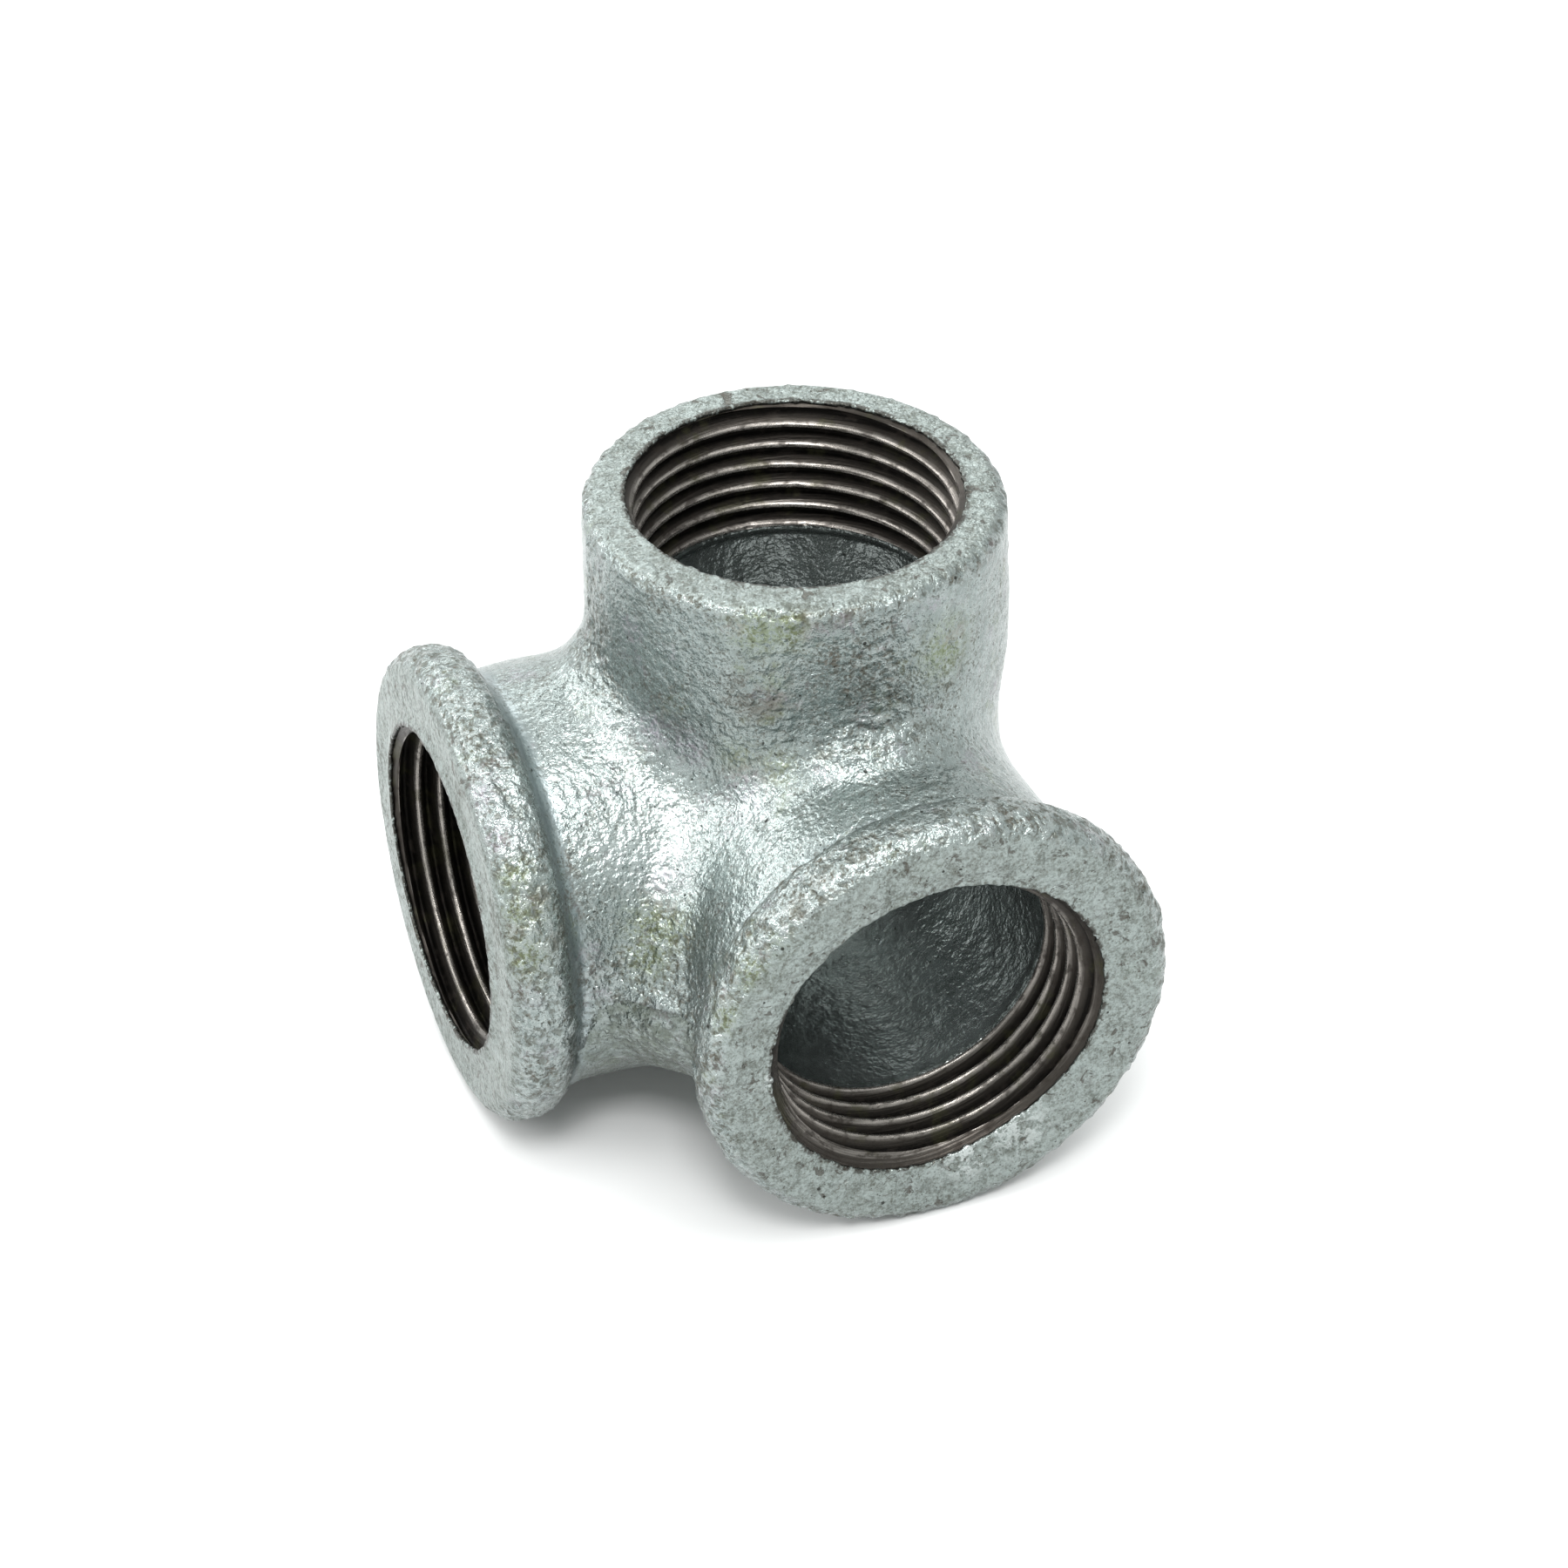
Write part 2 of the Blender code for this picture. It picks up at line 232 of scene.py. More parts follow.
class Cage:
    """The coarse corner: three sides of a cube drawn onto the surface, with a tube to each port."""

    def __init__(self, radius, blend, end, rings):
        self.points, self.quads, self.lattice = [], [], {}
        self.radius = radius
        self.value_of = lambda points: blended_barrels(points, radius, blend)
        n = CAGE_STEPS
        for side in (lambda a, b: (n, a, b), lambda a, b: (b, n, a), lambda a, b: (b, a, 0)):
            for a in range(n):
                for b in range(n):
                    corners = (side(a, b), side(a + 1, b), side(a + 1, b + 1), side(a, b + 1))
                    self.quads.append([self.at(c) for c in corners])
        loops = {name: self.loop(port) for name, port in PORTS.items()}
        free = set(range(len(self.points)))
        for name, port in PORTS.items():
            circle = on_circle(port, np.full(4 * n, end), np.full(4 * n, radius))
            ring = loops[name]
            for level in range(1, rings + 1):
                share = level / rings
                next_ring = [self.add(self.points[v] * (1 - share) + e * share)
                             for v, e in zip(loops[name], circle)]
                if level < rings:
                    free.update(next_ring)
                bridge(self.quads, ring, next_ring)
                ring = next_ring
        self.relax(np.array(sorted(free)))

    def add(self, point):
        self.points.append(np.array(point, float))
        return len(self.points) - 1

    def at(self, cell):
        if cell not in self.lattice:
            flat = np.array(cell) / CAGE_STEPS * 2 - 1
            bulged = np.tan(flat * math.pi / 4)
            self.lattice[cell] = self.add(bulged / np.linalg.norm(bulged) * self.radius)
        return self.lattice[cell]

    def loop(self, port):
        """The coarse points round the opening that faces a port, in the order of its turn."""
        n = CAGE_STEPS
        half = n // 2
        square = [(n, half + s) for s in range(half)]
        square += [(n - s, n) for s in range(n)]
        square += [(0, n - s) for s in range(n)]
        square += [(s, 0) for s in range(n)]
        square += [(n, s) for s in range(half)]
        loop = []
        for a, b in square:
            cell = np.maximum(port["out"], 0) * n + a * port["across_1"] + b * port["across_2"]
            loop.append(self.at(tuple(int(c) for c in cell)))
        return loop

    def relax(self, free):
        edges = np.array(sorted({tuple(sorted((q[i], q[(i + 1) % 4])))
                                 for q in self.quads for i in range(4)}))
        points = np.array(self.points)
        near = np.bincount(edges.ravel(), minlength=len(points))[:, None]
        for _ in range(RELAX_STEPS):
            total = np.zeros_like(points)
            np.add.at(total, edges[:, 0], points[edges[:, 1]])
            np.add.at(total, edges[:, 1], points[edges[:, 0]])
            mean = total / near
            points[free] = onto_surface((points[free] + mean[free]) / 2, self.value_of, 2)
        self.points = points


def on_circle(port, along, radius):
    """Points round a port's axis, one per value of along and radius."""
    turns = np.arange(len(along)) * 2 * math.pi / len(along)
    spokes = np.cos(turns)[:, None] * port["across_1"] + np.sin(turns)[:, None] * port["across_2"]
    return along[:, None] * port["out"] + radius[:, None] * spokes


def bridge(quads, ring, next_ring):
    count = len(ring)
    for m in range(count):
        k = (m + 1) % count
        quads.append([ring[m], ring[k], next_ring[k], next_ring[m]])


def place_in_port(points, port):
    """(along, radius, turn) of points in a port's own terms, turn from 0 to 1."""
    a, b = points @ port["across_1"], points @ port["across_2"]
    return points @ port["out"], np.hypot(a, b), np.arctan2(b, a) / (2 * math.pi) % 1.0


def fine_corner(radius, blend, end, rings):
    """The corner's points and quads at full resolution, and the vertex ring at each port."""
    cage = Cage(radius, blend, end, rings)
    mesh = bpy.data.meshes.new("cage")
    mesh.from_pydata(cage.points.tolist(), [], cage.quads)
    obj = bpy.data.objects.new("cage", mesh)
    bpy.context.scene.collection.objects.link(obj)
    split = obj.modifiers.new("split", "SUBSURF")
    split.levels = FINER
    split.subdivision_type = "CATMULL_CLARK"
    split.boundary_smooth = "ALL"
    split.quality = 3
    graph = bpy.context.evaluated_depsgraph_get()
    fine = obj.evaluated_get(graph).to_mesh()
    points = of_vertices(fine, "co")
    quads = np.empty(len(fine.loops), np.int64)
    fine.loops.foreach_get("vertex_index", quads)
    quads = quads.reshape(-1, 4)
    obj.evaluated_get(graph).to_mesh_clear()
    bpy.data.objects.remove(obj)
    bpy.data.meshes.remove(mesh)
    rings_found = {}
    fixed = np.zeros(len(points), bool)
    for name, port in PORTS.items():
        along, _, turn = place_in_port(points, port)
        edge = np.nonzero(along > end - 1e-6)[0]
        order = np.round(turn[edge] * AROUND).astype(int) % AROUND
        ring = np.empty(AROUND, np.int64)
        ring[order] = edge
        rings_found[name] = ring
        points[ring] = on_circle(port, np.full(AROUND, end), np.full(AROUND, radius))
        fixed[ring] = True
    loose = ~fixed
    points[loose] = onto_surface(points[loose], cage.value_of, 3)
    return points, quads, rings_found


# ---- profiles along a port

def mouth_radius(name, turn):
    """The zinc lip's radius, smaller where zinc is left hanging over the thread."""
    radius = np.full(len(turn), MOUTH_R[name])
    for size, centre, width in LEFT_OVER[name]:
        away = (turn - centre + 0.5) % 1.0 - 0.5
        radius -= size * np.exp(-(away / width) ** 2)
    return radius


def bead_value(a, r):
    """Signed distance to a bead on its own, in the port's own half plane."""
    x, y = a - (PORT_REACH - BEAD_HALF_WIDTH), r - (BEAD_R - BEAD_HALF_HEIGHT)
    qx = np.abs(x) - BEAD_HALF_WIDTH + BEAD_ROUND
    qy = np.abs(y) - BEAD_HALF_HEIGHT + BEAD_ROUND
    return (np.hypot(np.maximum(qx, 0), np.maximum(qy, 0))
            + np.minimum(np.maximum(qx, qy), 0) - BEAD_ROUND)


def joined(bead, neck, a):
    """The bead flowing into its neck at the back, and on its own in front."""
    neck = neck + 10 * mm * smooth(PORT_REACH - 5 * mm, PORT_REACH - 2.5 * mm, a)
    h = np.clip(0.5 + 0.5 * (bead - neck) / BEAD_FLOW, 0, 1)
    return bead * (1 - h) + neck * h - BEAD_FLOW * h * (1 - h)


def traced_bead(start):
    """Points along the bead's outline, from the neck to the flat of the port's face."""
    def outline(a, r):
        return joined(bead_value(a, r), r - BARREL_R, a)

    place = np.array((start, BARREL_R))
    heading = np.array((1.0, 0.0))
    step = SPACING / 4
    found = [place]
    while found[-1][1] > BEAD_R - BEAD_ROUND * 0.99 or found[-1][0] < PORT_REACH - BEAD_ROUND:
        place = found[-1] + heading * step
        for _ in range(3):
            value = outline(*place)
            slope = np.array((outline(place[0] + 1e-7, place[1]) - value,
                              outline(place[0], place[1] + 1e-7) - value)) / 1e-7
            place = place - value * slope / (slope @ slope)
        heading = place - found[-1]
        heading /= np.linalg.norm(heading)
        found.append(place)
        if len(found) > 4000:
            break
    return np.array(found)


def traced_rim(start):
    """Points along the plain top barrel's outline, to the flat of its rim."""
    turns = np.linspace(0, math.pi / 2, 24)
    arc = np.column_stack((PORT_REACH - RIM_ROUND + RIM_ROUND * np.sin(turns),
                           BARREL_R - RIM_ROUND + RIM_ROUND * np.cos(turns)))
    return np.concatenate(([(start, BARREL_R)], arc))


def resampled(line, spacing):
    """The polyline with points at an even spacing, without its first point."""
    line = np.array(line)
    lengths = np.concatenate(([0], np.cumsum(np.linalg.norm(np.diff(line, axis=0), axis=1))))
    count = max(int(round(lengths[-1] / spacing)), 1)
    places = np.linspace(0, lengths[-1], count + 1)[1:]
    return np.column_stack((np.interp(places, lengths, line[:, 0]),
                            np.interp(places, lengths, line[:, 1])))


def skin_profile(name):
    """A port's outline: outside, rim face, lip, hidden seat, inner lip, chamber wall.

    Returns it with the number of its points that are outside.
    """
    mouth, floor, edge = MOUTH_R[name], PORT_REACH - THREAD_DEPTH[name], INNER_LIP_R[name]
    behind_lip = (PORT_REACH - LIP - LIP_SLOPE, SEAT_R)
    outside = (traced_bead if PORTS[name]["bead"] else traced_rim)(OUTER_END)
    run = np.linspace(0, 1, 9)
    throat = np.column_stack((floor - 0.6 * mm - 1.2 * mm * run,
                              edge + (CHAMBER_R - edge) * smooth(0, 1, run)))
    lines = (
        (outside, SPACING),
        ([(PORT_REACH, outside[-1][1]), (PORT_REACH, mouth + LIP_CHAMFER)], SPACING),
        ([(PORT_REACH, mouth + LIP_CHAMFER), (PORT_REACH - LIP_CHAMFER, mouth),
          (PORT_REACH - LIP, mouth)], LIP / 2.5),
        ([(PORT_REACH - LIP, mouth), behind_lip], (SEAT_R - mouth) / 3),
        ([behind_lip, (floor, SEAT_R)], 3 * mm),
        ([(floor, SEAT_R), (floor, edge + 0.2 * mm)], SPACING),
        ([(floor, edge + 0.2 * mm), (floor - 0.1 * mm, edge), *throat, (INNER_END, CHAMBER_R)],
         SPACING * 1.1))
    parts = [resampled(line, spacing) for line, spacing in lines]
    return np.concatenate(parts), len(parts[0])


# ---- the cast skin

def cast_skin():
    """Points and faces of the closed zinc skin, before any roughness is cast into it."""
    outer, outer_quads, outer_rings = fine_corner(BARREL_R, SHELL_BLEND, OUTER_END, OUTER_RINGS)
    inner, inner_quads, inner_rings = fine_corner(CHAMBER_R, CHAMBER_BLEND, INNER_END, INNER_RINGS)
    points = [outer, inner]
    quads = [outer_quads, inner_quads[:, ::-1] + len(outer)]
    flowing = [np.ones(len(outer), bool), np.zeros(len(inner), bool)]
    count = len(outer) + len(inner)
    for name, port in PORTS.items():
        profile, outside_rings = skin_profile(name)
        ring = outer_rings[name]
        for number, (along, radius) in enumerate(profile[:-1]):
            points.append(on_circle(port, np.full(AROUND, along), np.full(AROUND, radius)))
            flowing.append(np.full(AROUND, number < outside_rings and along < PORT_REACH - RIM_ROUND))
            next_ring = np.arange(count, count + AROUND)
            count += AROUND
            quads.append(ring_quads(ring, next_ring))
            ring = next_ring
        quads.append(ring_quads(ring, inner_rings[name] + len(outer)))
    points, flowing = np.concatenate(points), np.concatenate(flowing)
    points[flowing] = onto_surface(points[flowing], outside_value, 4)
    return points, np.concatenate(quads)


def ring_quads(ring, next_ring):
    return np.column_stack((ring, np.roll(ring, -1), np.roll(next_ring, -1), next_ring))


def make_mesh(name, points, quads):
    mesh = bpy.data.meshes.new(name)
    mesh.vertices.add(len(points))
    mesh.vertices.foreach_set("co", np.ascontiguousarray(points, np.float32).ravel())
    mesh.loops.add(len(quads) * 4)
    mesh.loops.foreach_set("vertex_index", np.ascontiguousarray(quads, np.int32).ravel())
    mesh.polygons.add(len(quads))
    mesh.polygons.foreach_set("loop_start", np.arange(0, len(quads) * 4, 4, dtype=np.int32))
    mesh.update(calc_edges=True)
    mesh.validate()
    mesh.shade_smooth()
    return mesh


def of_vertices(mesh, key):
    """The vertices' places or normals."""
    values = np.empty(len(mesh.vertices) * 3)
    mesh.vertices.foreach_get(key, values)
    return values.reshape(-1, 3)


def set_attribute(mesh, name, values):
    attribute = mesh.attributes.new(name, "FLOAT", "POINT")
    attribute.data.foreach_set("value", np.ascontiguousarray(values, np.float32))


def band(x, centre, half_width, soft):
    """1 within half_width of centre, falling to 0 over soft."""
    return 1 - smooth(half_width, half_width + soft, np.abs(x - centre))


STAINS_AND_PAINTED_LIGHT = {      # centre and reach in mm, from the crossing of the axes: stains, places for relief, and patches of painted light and shade
    "olive": ((-11, -18, 36, 2.6), (-8, -19, 36.5, 2.4), (-12.5, -17, 20.5, 1.9), (-9, -18.5, 19.8, 2.2),
              (-36, -20.5, 11.5, 2.0), (-36, -18.7, 15, 1.8), (-36.5, -22, 8, 2.0), (-22.3, -21, 6.6, 3.0),
              (-23.5, -21.5, 3.5, 2.2), (-19, -37.5, 12.5, 2.0), (-22, -37, 8, 1.8), (8, -19, 30, 3.0)),
    "brown": ((-12, -37, 20, 1.6), (-14.5, -36.5, 18.3, 1.3), (-34.6, -20.3, 13, 1.4),
              (-6.7, -19.3, 37.4, 1.6), (-3.5, -20, 37.2, 1.4), (-33, -21.5, 9, 1.3),
              (-10, -17.9, 28, 3.0), (-38, -9, 17.5, 3.0), (-38, -17.5, 8, 3.0), (-9, -38, 17, 2.2),
              (-17, -38, -8, 2.6)),
    "pink": ((-18.4, -10, 21.4, 2.2), (-16, -13, 20.5, 2.0), (-12, -18, 18.3, 2.4), (-36.8, -16, 17.5, 1.8),
             (-37, -12, 20, 1.8), (-21, -19, 10, 2.2)),
    "hammered": ((-10, -18, 32, 3.2), (-10.5, -17.7, 27, 2.8)),
    "arch": ((-25, -22, 0, 5.0), (-24.5, -21.5, -6, 6.0)),
    "chipped": ((8, -38, -14.5, 3.2), (3, -38, -17, 2.4), (-17, -38, -1, 1.5)),
    # painted shade towards the chamber's bottom
    "chamber_floor_shade": ((0, 0, -16, 12.0),),
    # painted highlight: lighter zinc where the corner catches the lights
    "bright": ((-20, -16, 13, 6.0), (-25, -8, 19, 6.0), (-13, -22, 17, 5.0), (-24, -16, 13, 4.0)),
}
CRATERS = ((-25.7, -5.2, 20.1, 0.45), (-26.7, -11.8, 16.9, 0.50), (-16, -13.1, 27.8, 0.40),
           (-6, -19.6, 27, 0.35))
COLOURED = ("olive", "brown", "pink", "bright", "chipped", "chamber_floor_shade")     # stains and patches of painted light and shade that the zinc shader reads


def apart(points, centre, reach):
    """Distance from a centre, both in mm, as a share of a reach in mm."""
    return np.linalg.norm(points / mm - centre, axis=1) / reach


def patch_share(points, name):
    """Roughly 1 inside the named patches, among them stains, places for relief and painted light and shade,
    and 0 away from them.
    """
    return np.max([np.exp(-apart(points, centre, reach) ** 2) for *centre, reach in STAINS_AND_PAINTED_LIGHT[name]], axis=0)


def drips(points):
    """Overlapping drips on the front of the upright barrel: a gentle top and a steep lower edge."""
    x, y, z = points.T / mm
    arc = (np.arctan2(y, x) - math.atan2(-18, -10)) * BARREL_R / mm
    total = np.zeros(len(points))
    close = (np.abs(arc) < 9) & (z > 19) & (z < 36.5) & (np.hypot(x, y) > BARREL_R / mm - 2)
    for k in range(DRIPS):
        row, column = divmod(k, DRIPS_ROW)
        cell = np.array(row), np.array(column), np.array(0)
        place, drop, size = (hashed(*cell, 600 + j) for j in range(3))
        middle = (column - 2) * 1.40 - 1.6 + 0.6 * (row % 2) + 1.0 * (place - 0.5)
        top = 34.6 - row * 1.25 + 0.9 * (drop - 0.5)
        across = (arc[close] - middle) / (0.42 + 0.26 * size)
        up = z[close] - top - 0.25 * across ** 2
        shape = np.exp(-across ** 2) * np.where(up > 0, np.exp(-up / 0.75), np.exp(-(up / 0.17) ** 2))
        total[close] = np.maximum(total[close], shape * (0.6 + 0.4 * size))
    return total


def roughened(points):
    """Where the casting's own unevenness moves each point, and the masks the zinc shader reads."""
    face, crest, groove, lip = (np.zeros(len(points)) for _ in range(4))
    crease = np.zeros(len(points))
    for name, port in PORTS.items():
        along, radius, turn = place_in_port(points, port)
        here = along > INNER_END
        face = np.maximum(face, here * smooth(PORT_REACH - 0.55 * mm, PORT_REACH - 0.08 * mm, along))
        if port["bead"]:
            back = PORT_REACH - 2 * BEAD_HALF_WIDTH
            swell = here * smooth(BARREL_R + 1.2 * mm, BARREL_R + 2.6 * mm, radius)
            edge = here * band(along, PORT_REACH - 1.6 * mm, 1.7 * mm, 1.2 * mm) * smooth(
                BEAD_R - 2.6 * mm, BEAD_R - 0.9 * mm, radius)
            crest = np.maximum(crest, np.maximum(swell * 0.75, edge))
            groove = np.maximum(groove, here * band(along, back - 0.1 * mm, 0.9 * mm, 1.6 * mm)
                                * band(radius, BARREL_R + 0.6 * mm, 1.2 * mm, 1.0 * mm))
            crease = np.maximum(crease, here * np.exp(-((along - back - 0.5 * mm) / (0.22 * mm)) ** 2)
                                * smooth(BARREL_R - 1 * mm, BARREL_R, radius))
        else:
            edge = here * smooth(PORT_REACH - 2.2 * mm, PORT_REACH - 0.6 * mm, along) * smooth(
                BARREL_R - 1.6 * mm, BARREL_R - 0.5 * mm, radius)
            crest = np.maximum(crest, edge)
        mouth = mouth_radius(name, turn)
        lip = np.maximum(lip, here * (along > PORT_REACH - LIP * 1.1) * (1 - smooth(
            mouth + 0.1 * mm, mouth + 0.8 * mm, radius)))
    inside_skin = blended_barrels(points, CHAMBER_R + 1.6 * mm, CHAMBER_BLEND) < 0
    inside = (inside_skin & (reach_out(points) < PORT_REACH - 0.5 * mm)) * 1.0

    warp = np.column_stack([noise(points, 3 * mm, 900 + k) for k in range(3)]) * 0.5 * mm
    pimples = smooth(0.62, 0.15, cells(points + warp, 1.35 * mm, 31))
    small_pimples = smooth(0.6, 0.1, cells(points + warp * 0.6, 0.75 * mm, 47))
    swell = layered(points, 9 * mm, 3, 2)
    lumps = layered(points, 2.6 * mm, 7, 3, 0.55)
    fine = layered(points, 0.9 * mm, 71, 2, 0.6)
    patchy = smooth(-0.25, 0.45, noise(points, 7 * mm, 55)) * (1 - 0.85 * patch_share(points, "arch"))
    squashed = points * (1.0, 1.0, 1.5) + warp
    hammered = drips(points) + (0.4 * smooth(-0.1, 0.35, noise(squashed, 1.5 * mm, 97))
                                * patch_share(points, "hammered"))
    beads = smooth(-0.12, 0.32, noise(points + warp, 1.25 * mm, 131))

    shell = (1 - inside) * (1 - face)
    height = shell * (0.10 * mm * swell + (0.068 * mm * lumps + 0.036 * mm * fine) * (1 - 0.75 * groove))
    height += shell * (1 - groove) * patchy * 0.070 * mm * (pimples - 0.4)
    height += crest * (1 - face) * (0.08 * mm * (pimples - 0.4) + 0.07 * mm * (small_pimples - 0.4)
                                    + 0.07 * mm * lumps + 0.15 * mm * (beads - 0.5))
    height += shell * 0.24 * mm * hammered
    centre, reach, tall = BULGE
    height += shell * tall * mm * np.exp(-apart(points, centre, reach) ** 2)
    for *centre, size in CRATERS:
        away = apart(points, centre, size)
        height += shell * mm * (0.06 * np.exp(-((away - 1.1) / 0.4) ** 2) - 0.12 * np.exp(-away ** 2 * 2))
    height -= crease * shell * 0.10 * mm * smooth(-0.1, 0.4, noise(points, 9 * mm, 63))
    height += face * (0.045 * mm * lumps + 0.034 * mm * fine + 0.030 * mm * layered(points, 6 * mm, 5, 2))
    height += patch_share(points, "chipped") * face * 0.34 * mm * (beads - 0.35)
    height += lip * (0.05 * mm + 0.10 * mm * np.maximum(layered(points, 0.7 * mm, 83, 2), 0))
    wall = layered(points * (1, 1, 0.7), 1.6 * mm, 13, 2, 0.35)
    height += inside * (0.12 * mm * swell + 0.085 * mm * wall)
    return height, {"inside": inside, "face": face, "crest": crest, "groove": groove, "lip": lip,
                    **{name: patch_share(points, name) for name in COLOURED}}


def ragged(points):
    """How far each point near a zinc lip moves across its port's axis, for a torn edge."""
    shift = np.zeros_like(points)
    for number, (name, port) in enumerate(PORTS.items()):
        along, radius, turn = place_in_port(points, port)
        spokes = points - along[:, None] * port["out"]
        spokes /= np.maximum(np.linalg.norm(spokes, axis=1, keepdims=True), 1e-9)
        rim = spokes * MOUTH_R[name]
        outer = ((along > PORT_REACH - LIP * 1.6)
                 * (1 - smooth(MOUTH_R[name] + 0.1 * mm, MOUTH_R[name] + 1.4 * mm, radius)))
        tear = (0.13 * noise(rim, 2.2 * mm, 300 + number) + 0.13 * noise(rim, 0.8 * mm, 310 + number)
                + 0.10 * noise(rim, 0.45 * mm, 320 + number))
        chip = smooth(0.35, 0.7, noise(rim, 1.5 * mm, 330 + number)) * 0.16
        off_centre = mouth_radius(name, turn) - MOUTH_R[name]
        shift += spokes * (outer * ((tear + chip) * mm + off_centre))[:, None]
        floor = PORT_REACH - THREAD_DEPTH[name]
        edge = INNER_LIP_R[name]
        inner = ((along < floor + 0.02 * mm) * smooth(floor - 1.6 * mm, floor - 0.1 * mm, along)
                 * (1 - smooth(edge + 0.3 * mm, edge + 1.2 * mm, radius)))
        out_of_round = smooth(27 * mm, 31 * mm, along) * smooth(
            MOUTH_R[name] + 0.3 * mm, MOUTH_R[name] + 1.8 * mm, radius)
        shift += out_of_round[:, None] * np.array(SLUMP[name]) * mm
        tear = (0.16 * noise(rim, 2.0 * mm, 400 + number) + 0.14 * noise(rim, 0.7 * mm, 410 + number)
                + 0.08 * noise(rim, 0.4 * mm, 420 + number))
        shift += spokes * (inner * tear * mm)[:, None]
    return shift


def parting_ledge(points, inside):
    """The step where the two mould halves met: a flared lip over a scooped arch between the beads.

    Returns its height and the two masks that the zinc shader reads along it: a painted shadow just under
    the lip, and painted shade on the recessed wall below.
    """
    x, y, z = points.T
    depth = reach_out(points)
    level = (-0.95 - 0.95 * smooth(-3.5 * mm, -8.5 * mm, x - y)) * mm
    level -= 4.5 * mm * smooth(28.6 * mm, 30.8 * mm, depth)
    level += 0.10 * mm * noise(points, 4 * mm, 77) + 0.05 * mm * noise(points, 1.3 * mm, 78)
    towards = (-x - y) / np.maximum(np.hypot(x, y), 1e-9) / math.sqrt(2)
    neck = 1 - smooth(30.4 * mm, 31.8 * mm, depth)
    near = smooth(0.45, 0.80, towards) * neck
    below = smooth(level + 0.10 * mm, level - 0.24 * mm, z)
    scooped = (0.30 + 0.60 * smooth(level - 5.0 * mm, level - 0.2 * mm, z)) * smooth(-16 * mm, -6 * mm, z)
    flare = np.exp(-np.maximum(z - level, 0) / (1.3 * mm)) * (1 - below)
    foot = smooth(-5 * mm, -12 * mm, z) * smooth(5 * mm, 15 * mm, np.hypot(x, y))
    flash = 0.07 * (1 - near) * (1 - smooth(29.6 * mm, 31.0 * mm, depth)) * np.exp(
        -((z + 1.7 * mm) / (0.35 * mm)) ** 2)
    # a thin band just under the lip, where the zinc shader paints a shadow
    ledge_shadow = near * np.exp(-((z - level + 0.35 * mm) / (0.30 * mm)) ** 2)
    height = (1 - inside) * mm * (near * (0.60 * flare - scooped * below + 1.1 * foot) + flash)
    return height, ledge_shadow * (1 - inside), near * below * (1 - inside)


def nubs(points, inside):
    """Flash nubs on the beads' inner edges at the parting line."""
    total = sum(tall * mm * np.exp(-apart(points, centre, size) ** 2) for centre, size, tall in NUBS)
    return total * (1 - inside)


def make_casting():
    points, quads = cast_skin()
    mesh = make_mesh("zinc_casting", points + CROSSING, quads)
    normals = of_vertices(mesh, "normal")
    height, masks = roughened(points)
    ledge, masks["ledge_shadow"], masks["recess_shade"] = parting_ledge(points, masks["inside"])
    height += ledge + nubs(points, masks["inside"])
    moved = points + ragged(points) + normals * height[:, None]
    moved[:, 2] = np.maximum(moved[:, 2], -CROSSING[2])
    mesh.vertices.foreach_set("co", np.ascontiguousarray(moved + CROSSING, np.float32).ravel())
    mesh.update()
    for name, values in masks.items():
        set_attribute(mesh, name, values)
    return link(mesh)


def link(data):
    """A new object in the scene that carries this mesh, light or camera."""
    obj = bpy.data.objects.new(data.name, data)
    bpy.context.scene.collection.objects.link(obj)
    return obj


# ---- cut threads

THREAD_LEVELS = 20      # rows of quads in one pitch
THREAD_AROUND = 432
CREST_FLAT = 0.14                       # share of a pitch that is worn flat on the ridge
ROOT_FLAT = 0.10
THREAD_START = {"top": 0.27, "left": 0.0, "front": 0.30}
CONE_SLOPE = {"top": 1.6, "left": 1.6, "front": 1.0}      # of the turned mouth, radius over depth
CONE_EDGE = 0.00012                     # how far the cone reaches behind the zinc lip
THREAD_TAPER = 0.00055                  # how much wider the thread is at its mouth
BAND_OUTER_R = 0.0176                   # hidden in the seat


def thread_height(phase):
    """1 on the thread's ridge, 0 in its root, for a phase from 0 to 1 with the ridge at 0.5."""
    away = np.abs(phase % 1.0 - 0.5) * 2
    straight = np.clip((away - CREST_FLAT) / (1 - ROOT_FLAT - CREST_FLAT), 0, 1)
    return 1 - 0.55 * smooth(CREST_FLAT * 0.4, 1 - ROOT_FLAT * 0.4, away) - 0.45 * straight


